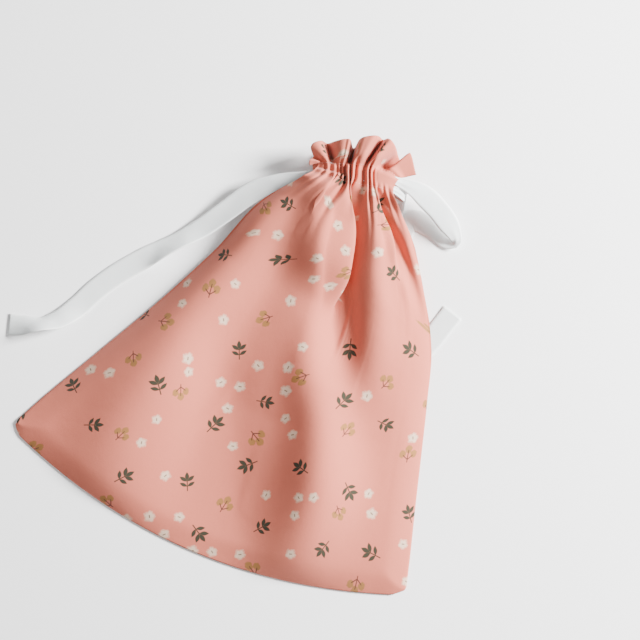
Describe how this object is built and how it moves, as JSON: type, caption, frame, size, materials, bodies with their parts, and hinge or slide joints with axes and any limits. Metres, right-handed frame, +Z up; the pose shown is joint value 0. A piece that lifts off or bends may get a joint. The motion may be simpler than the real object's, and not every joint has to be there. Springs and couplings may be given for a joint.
{
  "type": "kinchaku drawstring pouch",
  "caption": "Flat gathered cotton pouch with a frilled mouth, drawn shut by ribbons that run through casings and leave at side vents.",
  "frame": {"origin": "centre of the pouch's footprint on the surface it lies on, measured without the ribbons", "axes": "+Z up from the back panel to the front panel, +Y from the hem to the frill, +X to the right seen from above"},
  "size_m": [0.2761, 0.256, 0.0264],
  "materials": {
    "printed_cotton": "matt plain weave with a small scattered print",
    "ribbon_white": "soft matt woven ribbon"
  },
  "bodies": {
    "root": {"back_panel": "printed_cotton", "front_panel": "printed_cotton", "ribbon_left": "ribbon_white", "ribbon_right": "ribbon_white"}
  },
  "joints": []
}
